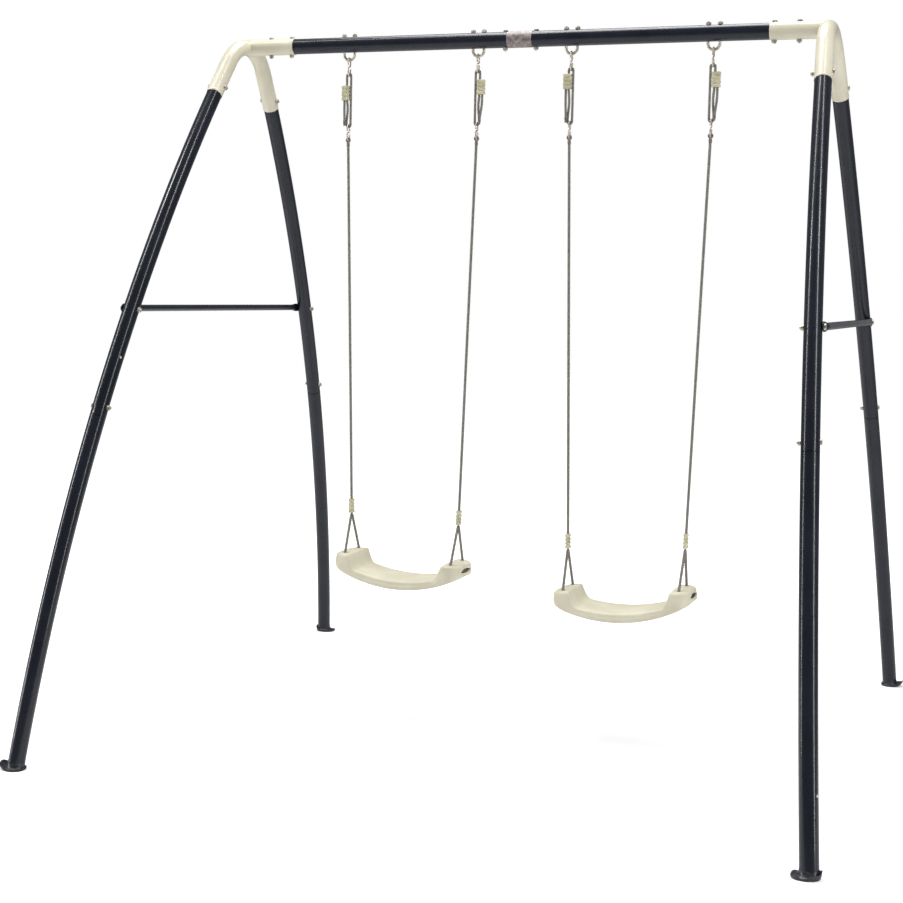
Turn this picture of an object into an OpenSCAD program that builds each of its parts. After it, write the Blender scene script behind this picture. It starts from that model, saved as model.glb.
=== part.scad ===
// Double garden swing set: two curved A-frames, one beam, two rope-hung moulded seats.
// Origin on the ground under the middle of the beam. X runs along the beam, the front is -Y.

/* [Frame] */
// Height of the beam's axis above the ground
beam_height = 2000; // [1700:10:2300]
// Distance between the two A-frames where they meet the beam's axis
frame_span = 1742; // [1600:1:2400]
// Sideways lean of each A-frame, in degrees
splay = 4.6; // [2:0.1:7]
// Angle of a leg from the A-frame's centre line where it leaves the bend
top_angle = 37; // [33:0.5:40]
// Radius of the bend at the top of an A-frame
bend_r = 142; // [110:1:180]
// Radius of the long arc that each leg follows
leg_r = 4816; // [4400:1:6000]
// Height of the joint between a leg's upper and lower tubes
leg_joint_height = 917; // [700:1:1050]
// Height of the crossbars
crossbar_height = 1209; // [1100:1:1500]

/* [Tubes] */
// Outside diameter of the beam and the legs
tube_d = 45; // [40:1:60]
// Wall of the beam and the legs
tube_wall = 1.5; // [1.2:0.1:2.5]
// Wall of the corner connectors
connector_wall = 1.2; // [1.2:0.1:3]
// Radial clearance between a tube and what it slides into
tube_fit = 0.2; // [0.1:0.05:0.4]
// Length of a connector's stub from the A-frame's centre
stub_length = 159; // [130:1:220]
// Length of a connector's leg sockets beyond the bend
socket_length = 129; // [90:1:180]
// Length of the spigot that joins two tubes
spigot_length = 90; // [60:1:140]
// Outside diameter of a crossbar
crossbar_d = 19; // [16:0.5:25]
// Wall of a crossbar
crossbar_wall = 1.2; // [1:0.1:2]

/* [Feet] */
// Width of a foot plate, front to back
foot_width = 60; // [56:1:100]
// Length of a foot plate along the beam's direction
foot_length = 70; // [66:1:120]
// Thickness of a foot plate
foot_plate = 4; // [3:0.5:8]
// Height of the flared collar on a foot
foot_collar = 30; // [20:1:50]

/* [Hardware] */
// Diameter of the frame bolts
bolt_d = 8; // [6:0.5:10]
// Diameter of the U-bolts' rod
u_rod_d = 8; // [6:0.5:10]
// Depth of the U-bolts below the beam, to the middle of the rod
u_depth = 22.5; // [20:0.5:40]
// Distance between the two legs of a U-bolt
u_pitch = 33; // [28:0.5:36]
// Wire of the hooks
hook_wire = 4.5; // [4:0.25:5]
// Bend radius in the hooks, to the middle of the wire
hook_r = 8.5; // [8:0.25:12]
// Height of a top hook
top_hook_h = 57; // [52:1:80]
// Height of a lower hook
lower_hook_h = 50; // [44:1:70]

/* [Swings] */
// Middle of the left swing along the beam
left_swing_x = -331; // [-420:1:-280]
// Middle of the right swing along the beam
right_swing_x = 355; // [280:1:420]
// Distance between the two hangers of a swing
hanger_pitch = 406; // [380:1:440]
// Height of the left seat's rope holes
left_seat_z = 478; // [350:1:650]
// Height of the right seat's rope holes
right_seat_z = 437; // [350:1:650]
// Roll of the left seat as its ropes are set, in degrees, outer end up
left_seat_roll = 2.35; // [0:0.05:5]
// Roll of the right seat as its ropes are set, in degrees, outer end up
right_seat_roll = 4.05; // [0:0.05:5]
// Diameter of the main ropes
rope_d = 9; // [7:0.5:11]
// Diameter of the adjusting loops' rope
loop_d = 8; // [7:0.5:9]
// Distance between the hook wires at the top and the bottom of an adjusting loop
loop_drop = 143; // [110:1:200]
// Height of a slider
slider_h = 43; // [36:1:60]
// Width of a slider across its two holes
slider_w = 25; // [24:0.5:32]
// Thickness of a slider
slider_t = 14; // [12:0.5:20]
// Distance from the outer left loop's slider up to the top hook's lower wire
slider_drop_1 = 50; // [30:1:70]
// The same for the inner left loop
slider_drop_2 = 41; // [30:1:70]
// The same for the inner right loop
slider_drop_3 = 31; // [30:1:70]
// The same for the outer right loop
slider_drop_4 = 35; // [30:1:70]

/* [Seat] */
// Width of a seat between its outer ends
seat_w = 404; // [380:1:460]
// Depth of a seat, front to back
seat_depth = 170; // [150:1:220]
// Height from the lowest edge to the tops of the end blocks
seat_h = 90; // [80:1:110]
// Height of the front lip in the middle
seat_lip = 29; // [22:1:36]
// Wall of the moulding
seat_wall = 4; // [3:0.5:6]
// Width of an end block
block_w = 52; // [44:1:70]
// Corner radius of the seat seen from above
seat_corner = 44; // [20:1:60]
// Distance between the left and right rope holes
hole_pitch_x = 340; // [330:1:360]
// Distance between the front and rear rope holes
hole_pitch_y = 105; // [80:1:120]
// Height of the point where a rope divides, above the rope holes
split_height = 107; // [90:1:160]

/* [Hidden] */
$fn = 48;
MOULD_FN = 96;              // finer facets for the seat's long curves in previews
EPS = 0.01;
SEAT_GAP = 0.3;             // clearance between two pieces that bear on each other
CONTACT_GAP = 0.1;          // clearance under bolt heads and nuts
CUT = 3000;                 // size of the blocks that cut away a half space

DARK = [0.15, 0.16, 0.19];
CREAM = [0.90, 0.87, 0.76];
SEAT_CREAM = [0.89, 0.87, 0.76];
ZINC = [0.72, 0.70, 0.64];
ROPE = [0.46, 0.43, 0.41];
PLATE = [0.60, 0.56, 0.56];

SIDES = [-1, 1];            // left and right A-frame, or front and rear leg

// ---- Tubes and legs ----
tube_bore = tube_d - 2 * tube_wall;
socket_bore = tube_d + 2 * tube_fit;
socket_d = socket_bore + 2 * connector_wall;
shoulder = 1;               // step inside a connector that stops a tube
bend_d = socket_d - 1;      // the bend is a little slimmer than the sockets
spigot_d = tube_bore - 2 * tube_fit;
spigot_bore = spigot_d - 2 * tube_wall;

// The A-frame is flat. In its plane, u runs from the centre line outwards and v runs down
// from the beam's axis. A leg leaves the bend and follows one arc to the ground.
leg_centre_u = (bend_r - leg_r) * cos(top_angle);
leg_centre_v = bend_r + (leg_r - bend_r) * sin(top_angle);
function drop_of(height) = (beam_height - height) / cos(splay);
function leg_angle(height) = asin((leg_centre_v - drop_of(height)) / leg_r);
function leg_u(angle) = leg_centre_u + leg_r * cos(angle);
function leg_v(angle) = leg_centre_v - leg_r * sin(angle);
function along_leg(length) = length / leg_r * 180 / PI;

joint_angle = leg_angle(leg_joint_height);
socket_angle = top_angle - along_leg(socket_length);
socket_top_angle = top_angle + along_leg(4);    // the sockets run a little way onto the bend
foot_angle = leg_angle(0);
leg_tilt = acos(cos(foot_angle) * cos(splay));
leg_end_angle = leg_angle(foot_plate + SEAT_GAP + tube_d / 2 * sin(leg_tilt));
crossbar_angle = leg_angle(crossbar_height);
leg_foot_x = frame_span / 2 + beam_height * tan(splay);
leg_foot_y = leg_u(foot_angle);

// Where the bolts cross the legs and the beam
bolt_setback = 28;          // from the end of a socket or an upper tube to its bolt
socket_bolt_angle = socket_angle + along_leg(bolt_setback);
joint_bolt_angle = joint_angle + along_leg(bolt_setback);
stub_bolt_setbacks = [11, 79];  // from the stub's open end to its two bolts
stub_end_x = frame_span / 2 - stub_length;
stub_bolt_xs = [for (s = stub_bolt_setbacks) stub_end_x + s];
beam_bolt_x = 46;           // from the beam's middle to the joint's bolts
beam_plate_half = 37;       // half the length of the plate between those bolts
beam_end_x = frame_span / 2 - socket_d / 2 - 10;

// ---- Fasteners ----
bolt_hole = bolt_d + 0.4;
head_af = 1.6 * bolt_d;     // across the flats of heads and nuts
head_h = 0.55 * bolt_d;
nut_h = 0.8 * bolt_d;
bolt_tail = 3;              // bolt that stands out of its nut
u_hole = u_rod_d + 0.4;

// ---- Crossbars ----
tongue_t = 4;               // thickness of a crossbar's flattened ends
tongue_w = 26;
tongue_l = 48;              // from the bolt to where the bar is round again
crossbar_x = tube_d / 2 + CONTACT_GAP + tongue_t / 2;

// ---- Hangers, one to four from left to right ----
SWING_X = [left_swing_x, left_swing_x, right_swing_x, right_swing_x];
SEAT_Z = [left_seat_z, left_seat_z, right_seat_z, right_seat_z];
ROLL = [left_seat_roll, left_seat_roll, -right_seat_roll, -right_seat_roll];
HAND = [-1, 1, -1, 1];
SLIDER_DROP = [slider_drop_1, slider_drop_2, slider_drop_3, slider_drop_4];
function hanger_x(i) = SWING_X[i] + HAND[i] * hanger_pitch / 2;

u_axis_z = beam_height - tube_d / 2 - u_depth;
top_hook_z = u_axis_z + u_rod_d / 2 + hook_wire / 2 + SEAT_GAP;
loop_top_z = top_hook_z - (top_hook_h - hook_wire);
loop_bottom_z = loop_top_z - loop_drop;
rope_top_z = loop_bottom_z - (lower_hook_h - hook_wire);
loop_turn_r = hook_wire / 2 + loop_d / 2 + SEAT_GAP;
tail_x = loop_turn_r + loop_d - 0.4;    // the loop's tail lies against its own strand
slider_x = (loop_turn_r + tail_x) / 2;
function slider_z(i) = loop_top_z - SLIDER_DROP[i];

// The rope's end eye is laid up from half of its strands
eye_d = 0.66 * rope_d;
eye_r = hook_wire / 2 + eye_d / 2 + SEAT_GAP;

// ---- Seat ----
lip_arc_r = 430;            // the lower edge, seen from the front
dish_arc_r = 500;           // the sitting surface, seen from the front
turn_r = rope_d / 2 + 1.5;  // the rope's bends where it divides and under the block's top
turn_y = hole_pitch_y / 2 - 0.9 * turn_r;
turn_z = turn_r - seat_wall - SEAT_GAP - rope_d / 2;
rope_hole_d = rope_d + 4;
strand_sides = 10;
slider_above_split = 6;     // from the point where the rope divides to the slider
apex_x = hole_pitch_x / 2 + 3;
// A point of a seat's own frame, in the swing set's frame
function seat_point(i, p) = [
    SWING_X[i] + p[0] * cos(ROLL[i]) + p[2] * sin(ROLL[i]),
    p[1],
    SEAT_Z[i] - p[0] * sin(ROLL[i]) + p[2] * cos(ROLL[i])
];
// The ropes divide level with each other above the rope holes, however the seat is rolled
function apex_local(i) = [HAND[i] * apex_x - split_height * tan(ROLL[i]), 0, split_height];
function apex(i) = seat_point(i, apex_local(i));
function rope_top(i) = [hanger_x(i), 0, rope_top_z];

// ---- Shape helpers ----
module tube(d, bore, length) {
    difference() {
        cylinder(d = d, h = length);
        translate([0, 0, -1]) cylinder(d = bore, h = length + 2);
    }
}

module along_x() {
    rotate([0, 90, 0]) children();
}

// Part of a ring in the YZ plane, angles from +Y towards +Z
module arc_yz(y, z, r, from, to, d) {
    translate([0, y, z]) rotate([90, 0, 90]) rotate([0, 0, from])
        rotate_extrude(angle = to - from) translate([r, 0]) circle(d = d);
}

// Part of a ring in the XZ plane, angles from +X towards +Z
module arc_xz(x, z, r, from, to, d) {
    translate([x, 0, z]) rotate([90, 0, 0]) rotate([0, 0, from])
        rotate_extrude(angle = to - from) translate([r, 0]) circle(d = d);
}

// A straight round bar from p to q
module bar(p, q, d) {
    v = q - p;
    translate(p) rotate([0, acos(v[2] / norm(v)), atan2(v[1], v[0])]) cylinder(d = d, h = norm(v));
}

// An upright prism with round ends, its long side along X
module lozenge(length, width, h) {
    half = (length - width) / 2;
    translate([-half, -width / 2, 0]) cube([2 * half, width, h]);
    for (s = SIDES) translate([s * half, 0, 0]) cylinder(d = width, h = h);
}

// ---- Places ----
module at_frame(side) {
    translate([side * frame_span / 2, 0, beam_height])
        mirror([side < 0 ? 1 : 0, 0, 0]) rotate([0, -splay, 0]) children();
}

// Draws a leg's own frame: +Y is outwards, +X is away from the swings
module at_leg(side, end) {
    at_frame(side) mirror([0, end < 0 ? 1 : 0, 0]) children();
}

// A bolt's axis across a leg, pointing away from the swings
module at_leg_bolt(side, end, angle) {
    at_leg(side, end) translate([0, leg_u(angle), -leg_v(angle)]) along_x() children();
}

module at_seat(i) {
    translate([SWING_X[i], 0, SEAT_Z[i]]) rotate([0, ROLL[i], 0]) children();
}

module leg_arc(from, to, d) {
    arc_yz(leg_centre_u, -leg_centre_v, leg_r, from, to, d);
}

module below(z) {
    translate([-CUT, -CUT, z - CUT]) cube([2 * CUT, 2 * CUT, CUT]);
}

// ---- Beam ----
module u_bolt_holes() {
    for (i = [0 : 3]) for (s = SIDES)
        translate([hanger_x(i) + s * u_pitch / 2, 0, beam_height - tube_d])
            cylinder(d = u_hole, h = 2 * tube_d);
}

module beam_bolt_holes() {
    for (s = SIDES) for (x = concat(stub_bolt_xs, [beam_bolt_x]))
        translate([s * x, 0, beam_height - tube_d]) cylinder(d = bolt_hole, h = 2 * tube_d);
}

module beam_half(side) {
    color(DARK) difference() {
        translate([side < 0 ? -beam_end_x : 0, 0, beam_height])
            along_x() tube(tube_d, tube_bore, beam_end_x);
        u_bolt_holes();
        beam_bolt_holes();
    }
}

module beam_joint_sleeve() {
    color(DARK) difference() {
        translate([-spigot_length, 0, beam_height])
            along_x() tube(spigot_d, spigot_bore, 2 * spigot_length);
        beam_bolt_holes();
    }
}

// A blank metal plate bent round the front of the beam
module beam_plate() {
    plate_t = 0.8;
    plate_wrap = 250;
    color(PLATE) translate([-beam_plate_half, 0, beam_height]) along_x()
        rotate([0, 0, -90 - plate_wrap / 2])
            rotate_extrude(angle = plate_wrap) translate([tube_d / 2 + CONTACT_GAP, 0])
                square([plate_t, 2 * beam_plate_half]);
}

// ---- Corner connectors ----
module connector(side) {
    bend_bore = socket_bore - 2 * shoulder;
    stub_bore_end = stub_length - socket_d / 2 + connector_wall / 2;
    color(CREAM) difference() {
        union() {
            at_frame(side) {
                arc_yz(0, -bend_r, bend_r, top_angle, 180 - top_angle, bend_d);
                for (end = SIDES) mirror([0, end < 0 ? 1 : 0, 0])
                    leg_arc(socket_angle, socket_top_angle, socket_d);
            }
            translate([side < 0 ? -frame_span / 2 : stub_end_x, 0, beam_height])
                along_x() cylinder(d = socket_d, h = stub_length);
        }
        at_frame(side) {
            arc_yz(0, -bend_r, bend_r, top_angle - 1, 181 - top_angle, bend_bore);
            for (end = SIDES) mirror([0, end < 0 ? 1 : 0, 0])
                leg_arc(socket_angle - along_leg(1), socket_top_angle - along_leg(2), socket_bore);
        }
        translate([side < 0 ? -stub_end_x - stub_bore_end : stub_end_x - 1, 0, beam_height])
            along_x() cylinder(d = socket_bore, h = stub_bore_end + 1);
        beam_bolt_holes();
        for (end = SIDES) at_leg_bolt(side, end, socket_bolt_angle)
            cylinder(d = bolt_hole, h = 2 * tube_d, center = true);
    }
}

// ---- Legs ----
module leg_bolt_holes(side, end) {
    for (angle = [socket_bolt_angle, joint_bolt_angle, crossbar_angle])
        at_leg_bolt(side, end, angle) cylinder(d = bolt_hole, h = 2 * tube_d, center = true);
}

module upper_leg(side, end) {
    upper_end = top_angle - along_leg(6);
    color(DARK) difference() {
        at_leg(side, end) leg_arc(joint_angle, upper_end, tube_d);
        at_leg(side, end)
            leg_arc(joint_angle - along_leg(1), upper_end + along_leg(1), tube_bore);
        leg_bolt_holes(side, end);
    }
}

module lower_leg(side, end) {
    neck = along_leg(6);
    groove = along_leg(2);  // the dark line left where the two tubes meet
    spigot_end = joint_angle + along_leg(spigot_length);
    color(DARK) difference() {
        at_leg(side, end) {
            leg_arc(leg_end_angle, joint_angle - groove, tube_d);
            leg_arc(joint_angle - groove - neck, spigot_end, spigot_d);
        }
        at_leg(side, end) {
            leg_arc(leg_end_angle - neck, joint_angle - groove - neck, tube_bore);
            leg_arc(joint_angle - groove - 2 * neck, spigot_end + neck, spigot_bore);
        }
        leg_bolt_holes(side, end);
    }
}

// ---- Feet ----
// A flat plate under the leg with a flared collar round it. The toe turns towards the
// swings on a front leg of the right frame and a rear leg of the left one.
module foot(side, end) {
    toe = 7;                // how far the plate's middle lies from the leg's axis
    collar_top_d = tube_d + 4;
    collar_foot_d = tube_d + 13;
    plumb = leg_angle(0);
    color(DARK) difference() {
        union() {
            translate([side * leg_foot_x + end * toe, end * leg_foot_y, 0])
                lozenge(foot_length, foot_width, foot_plate);
            at_leg(side, end) translate([0, leg_u(plumb), -leg_v(plumb)])
                rotate([plumb, 0, 0]) translate([0, 0, -collar_foot_d / 4])
                    cylinder(d1 = collar_foot_d + 4, d2 = collar_top_d,
                             h = foot_collar + collar_foot_d / 4);
        }
        difference() {
            at_leg(side, end)
                leg_arc(plumb - along_leg(40), plumb + along_leg(2 * foot_collar), socket_bore);
            below(foot_plate);
        }
        below(0);
    }
}

// ---- Crossbars ----
module crossbar(side) {
    u = leg_u(crossbar_angle);
    round_end = u - tongue_l;
    color(DARK) at_frame(side) translate([crossbar_x, 0, -drop_of(crossbar_height)]) {
        difference() {
            union() {
                translate([0, -round_end, 0]) rotate([-90, 0, 0])
                    tube(crossbar_d, crossbar_d - 2 * crossbar_wall, 2 * round_end);
                for (end = SIDES) {
                    translate([-tongue_t / 2, end > 0 ? round_end - 8 : -u, -tongue_w / 2])
                        cube([tongue_t, tongue_l + 8, tongue_w]);
                    translate([-tongue_t / 2, end * u, 0]) along_x()
                        cylinder(d = tongue_w, h = tongue_t);
                }
            }
            for (end = SIDES) translate([-tongue_t, end * u, 0]) along_x()
                cylinder(d = bolt_hole, h = 2 * tongue_t);
        }
    }
}

// ---- Fasteners ----
// A bolt along +Z through a joint that reaches from -half to +half, its head on top
module bolt(half, top) {
    color(ZINC) {
        translate([0, 0, top + CONTACT_GAP]) cylinder(d = head_af / cos(30), h = head_h, $fn = 6);
        translate([0, 0, -half - CONTACT_GAP - nut_h - bolt_tail])
            cylinder(d = bolt_d, h = half + top + nut_h + bolt_tail + 2 * CONTACT_GAP + EPS);
    }
}

module nut(half) {
    color(ZINC) translate([0, 0, -half - CONTACT_GAP - nut_h]) difference() {
        cylinder(d = head_af / cos(30), h = nut_h, $fn = 6);
        translate([0, 0, -1]) cylinder(d = bolt_d + 0.1, h = nut_h + 2);
    }
}

module at_leg_bolts(angle) {
    for (side = SIDES) for (end = SIDES) at_leg_bolt(side, end, angle) children();
}

module at_beam_bolts(xs) {
    for (side = SIDES) for (x = xs) translate([side * x, 0, beam_height]) children();
}

// Small round-headed screws on the two front legs, on the side turned to +X
module leg_screws() {
    head_r = 4;
    turn = 65;              // from the front of the leg towards +X
    places = [[-1, 1075], [1, 175]];
    color(ZINC) for (p = places) {
        a = leg_angle(p[1]);
        at_leg(p[0], -1) translate([0, leg_u(a), -leg_v(a)]) rotate([a, 0, 0])
            rotate([0, 0, -p[0] * turn]) rotate([-90, 0, 0])
                translate([0, 0, tube_d / 2 + CONTACT_GAP])
                intersection() {
                    translate([0, 0, -1]) sphere(r = head_r);
                    cylinder(r = head_r, h = head_r);
                }
    }
}

module u_bolt() {
    leg_top = beam_height + tube_d / 2 + nut_h + bolt_tail;
    bend_z = u_axis_z + u_pitch / 2;
    color(ZINC) {
        arc_xz(0, bend_z, u_pitch / 2, 180, 360, u_rod_d);
        for (s = SIDES) translate([s * u_pitch / 2, 0, bend_z - EPS])
            cylinder(d = u_rod_d, h = leg_top - bend_z + EPS);
    }
}

module u_nuts() {
    for (s = SIDES) translate([s * u_pitch / 2, 0, beam_height]) mirror([0, 0, 1])
        nut(tube_d / 2);
}

// ---- Hangers ----
// An S-hook that hangs from z = 0, the middle of its top wire, with its eyes in the YZ plane
module s_hook(h) {
    r = hook_r;
    straight = (h - hook_wire - 4 * r) / 2;
    middle = -2 * r - straight;
    tip = straight + r / 2;
    color(ZINC) {
        arc_yz(0, -r, r, 0, 180, hook_wire);
        arc_yz(0, middle + r, r, -90, 0, hook_wire);
        arc_yz(0, middle - r, r, 90, 180, hook_wire);
        arc_yz(0, middle - r - straight, r, 180, 360, hook_wire);
        for (turn = [0, 180]) translate([0, 0, middle]) rotate([turn, 0, 0]) {
            translate([0, r, r - EPS]) cylinder(d = hook_wire, h = straight + 2 * EPS);
            translate([0, -r, r + straight - tip]) cylinder(d = hook_wire, h = tip + EPS);
        }
    }
}

// The adjusting loop: over the top hook, through the slider, round the lower hook, and its
// tail out of the slider again
module loop_rope(i) {
    tail_end_z = loop_bottom_z + 9;
    color(ROPE) translate([hanger_x(i), 0, 0]) mirror([HAND[i] < 0 ? 1 : 0, 0, 0]) {
        arc_xz(0, loop_top_z, loop_turn_r, 0, 180, loop_d);
        arc_xz(0, loop_bottom_z, loop_turn_r, 180, 360, loop_d);
        for (s = SIDES) translate([s * loop_turn_r, 0, loop_bottom_z - EPS])
            cylinder(d = loop_d, h = loop_drop + 2 * EPS);
        translate([tail_x, 0, tail_end_z]) cylinder(d = loop_d, h = slider_z(i) - tail_end_z);
    }
}

// A moulded three-bar slider, its two holes side by side along X
module slider(hole_d, hole_pitch) {
    groove_h = 4;
    groove_depth = 1.6;
    groove_pitch = slider_h / 4;
    color(SEAT_CREAM) difference() {
        lozenge(slider_w, slider_t, slider_h);
        translate([0, 0, -1]) lozenge(hole_pitch + hole_d, hole_d, slider_h + 2);
        for (k = [1 : 3]) for (s = SIDES)
            translate([-slider_w / 4, s * (slider_t / 2 - groove_depth / 2) - groove_depth / 2,
                       k * groove_pitch - groove_h / 2])
                cube([slider_w / 2, groove_depth + EPS, groove_h]);
    }
}

module loop_slider(i) {
    translate([hanger_x(i) + HAND[i] * slider_x, 0, slider_z(i) - slider_h / 2])
        slider(loop_d + 2 * SEAT_GAP, tail_x - loop_turn_r);
}

module main_rope(i) {
    top = rope_top(i) - [0, 0, eye_r];
    foot = apex(i);
    v = foot - top;
    end = foot - v / norm(v) * (rope_d / 2 + SEAT_GAP);
    color(ROPE) {
        translate(rope_top(i)) rotate([90, 0, 0])
            rotate_extrude() translate([eye_r, 0]) circle(d = eye_d);
        bar(top, end, rope_d);
    }
}

// The slider on the main rope where it divides, its holes front and back
module seat_slider(i) {
    v = rope_top(i) - apex(i);
    translate(apex(i)) rotate([0, atan2(v[0], v[2]), 0]) translate([0, 0, slider_above_split])
        rotate([0, 0, 90]) slider(rope_d + 2 * SEAT_GAP, rope_d / 2);
}

// ---- Seats ----
module seat_plan(inset) {
    r = seat_corner - inset;
    hx = seat_w / 2 - inset - r;
    hy = seat_depth / 2 - inset - r;
    square([2 * (hx + r), 2 * hy], center = true);
    square([2 * hx, 2 * (hy + r)], center = true);
    for (a = SIDES) for (b = SIDES) translate([a * hx, b * hy]) circle(r = r, $fn = MOULD_FN);
}

// Everything under the sitting surface and the end blocks, lowered by a wall
module seat_under(lower) {
    dish_z = -seat_h + seat_lip;
    block_half = seat_w / 2 - block_w;
    difference() {
        translate([-seat_w, -seat_depth, -2 * seat_h])
            cube([2 * seat_w, 2 * seat_depth, 2 * seat_h - lower]);
        intersection() {
            translate([0, seat_depth, dish_z + dish_arc_r]) rotate([90, 0, 0])
                cylinder(r = dish_arc_r + lower, h = 2 * seat_depth, $fn = MOULD_FN);
            translate([-block_half - lower, -seat_depth, -2 * seat_h])
                cube([2 * (block_half + lower), 2 * seat_depth, 4 * seat_h]);
        }
    }
}

module seat(i) {
    color(SEAT_CREAM) at_seat(i) difference() {
        intersection() {
            translate([0, 0, -seat_h - 1]) linear_extrude(seat_h + 2) seat_plan(0);
            seat_under(0);
            translate([0, seat_depth, lip_arc_r - seat_h]) rotate([90, 0, 0])
                cylinder(r = lip_arc_r, h = 2 * seat_depth, $fn = MOULD_FN);
        }
        intersection() {
            translate([0, 0, -seat_h - 2]) linear_extrude(seat_h + 2) seat_plan(seat_wall);
            seat_under(seat_wall);
        }
        for (a = SIDES) for (b = SIDES)
            translate([a * hole_pitch_x / 2, b * hole_pitch_y / 2, -2 * seat_wall])
                cylinder(d = rope_hole_d, h = 4 * seat_wall);
    }
}

// The rope below the slider, as one closed tube: down through the front hole, across under
// the block's top and up through the rear hole. A step is [y, z, angle of its outer side].
strand_slope = atan(turn_y / (split_height - turn_r - turn_z));
function strand_arc(y, z, from, to, steps) = [
    for (k = [0 : steps]) let (a = from + (to - from) * k / steps)
        [y + turn_r * cos(a), z + turn_r * sin(a), a]
];
strand_route = concat(
    strand_arc(-turn_y, turn_z, 270, 180 - strand_slope, 5),
    strand_arc(0, split_height - turn_r, 180 - strand_slope, strand_slope, 6),
    strand_arc(turn_y, turn_z, strand_slope, -90, 5)
);
function strand_x(i, z) = let (hole = HAND[i] * hole_pitch_x / 2)
    hole + (apex_local(i)[0] - hole) * z / split_height;

module seat_strand(i) {
    rings = len(strand_route);
    points = [
        for (s = strand_route) for (k = [0 : strand_sides - 1])
            let (a = 360 * k / strand_sides, reach = rope_d / 2 * cos(a))
                [strand_x(i, s[1]) + rope_d / 2 * sin(a),
                 s[0] + reach * cos(s[2]), s[1] + reach * sin(s[2])]
    ];
    faces = [
        for (s = [0 : rings - 1]) for (k = [0 : strand_sides - 1])
            let (n = (s + 1) % rings, m = (k + 1) % strand_sides)
                [s * strand_sides + k, n * strand_sides + k,
                 n * strand_sides + m, s * strand_sides + m]
    ];
    color(ROPE) at_seat(i) polyhedron(points, faces);
}

beam_half(-1);  // beam_left
beam_half(1);  // beam_right
beam_joint_sleeve();
beam_plate();
connector(-1);  // connector_left
connector(1);  // connector_right
upper_leg(-1, -1);  // upper_leg_front_left
upper_leg(-1, 1);  // upper_leg_rear_left
upper_leg(1, -1);  // upper_leg_front_right
upper_leg(1, 1);  // upper_leg_rear_right
lower_leg(-1, -1);  // lower_leg_front_left
lower_leg(-1, 1);  // lower_leg_rear_left
lower_leg(1, -1);  // lower_leg_front_right
lower_leg(1, 1);  // lower_leg_rear_right
foot(-1, -1);  // foot_front_left
foot(-1, 1);  // foot_rear_left
foot(1, -1);  // foot_front_right
foot(1, 1);  // foot_rear_right
crossbar(-1);  // crossbar_left
crossbar(1);  // crossbar_right
at_leg_bolts(socket_bolt_angle) bolt(socket_d / 2, socket_d / 2);  // connector_leg_bolts
at_leg_bolts(socket_bolt_angle) nut(socket_d / 2);  // connector_leg_nuts
at_leg_bolts(joint_bolt_angle) bolt(tube_d / 2, tube_d / 2);  // leg_joint_bolts
at_leg_bolts(joint_bolt_angle) nut(tube_d / 2);  // leg_joint_nuts
at_leg_bolts(crossbar_angle) bolt(tube_d / 2, crossbar_x + tongue_t / 2);  // crossbar_bolts
at_leg_bolts(crossbar_angle) nut(tube_d / 2);  // crossbar_nuts
at_beam_bolts(stub_bolt_xs) bolt(socket_d / 2, socket_d / 2);  // stub_bolts
at_beam_bolts(stub_bolt_xs) nut(socket_d / 2);  // stub_nuts
at_beam_bolts([beam_bolt_x]) bolt(tube_d / 2, tube_d / 2);  // beam_joint_bolts
at_beam_bolts([beam_bolt_x]) nut(tube_d / 2);  // beam_joint_nuts
for (i = [0 : 3]) translate([hanger_x(i), 0, 0]) u_bolt();  // hanger_u_bolts
for (i = [0 : 3]) translate([hanger_x(i), 0, 0]) u_nuts();  // hanger_u_nuts
leg_screws();
for (i = [0, 1]) translate([hanger_x(i), 0, top_hook_z]) s_hook(top_hook_h);  // left_swing_top_hooks
loop_rope(0);  // left_swing_loop_outer
loop_rope(1);  // left_swing_loop_inner
loop_slider(0);  // left_swing_loop_slider_outer
loop_slider(1);  // left_swing_loop_slider_inner
for (i = [0, 1]) translate([hanger_x(i), 0, loop_bottom_z]) s_hook(lower_hook_h);  // left_swing_lower_hooks
main_rope(0);  // left_swing_rope_outer
main_rope(1);  // left_swing_rope_inner
seat_slider(0);  // left_swing_seat_slider_outer
seat_slider(1);  // left_swing_seat_slider_inner
seat(0);  // left_swing_seat
seat_strand(0);  // left_swing_seat_strand_outer
seat_strand(1);  // left_swing_seat_strand_inner
for (i = [2, 3]) translate([hanger_x(i), 0, top_hook_z]) s_hook(top_hook_h);  // right_swing_top_hooks
loop_rope(3);  // right_swing_loop_outer
loop_rope(2);  // right_swing_loop_inner
loop_slider(3);  // right_swing_loop_slider_outer
loop_slider(2);  // right_swing_loop_slider_inner
for (i = [2, 3]) translate([hanger_x(i), 0, loop_bottom_z]) s_hook(lower_hook_h);  // right_swing_lower_hooks
main_rope(3);  // right_swing_rope_outer
main_rope(2);  // right_swing_rope_inner
seat_slider(3);  // right_swing_seat_slider_outer
seat_slider(2);  // right_swing_seat_slider_inner
seat(2);  // right_swing_seat
seat_strand(3);  // right_swing_seat_strand_outer
seat_strand(2);  // right_swing_seat_strand_inner
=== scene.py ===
import math
from collections import namedtuple

import bmesh
import bpy
from mathutils import Matrix, Vector


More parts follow.
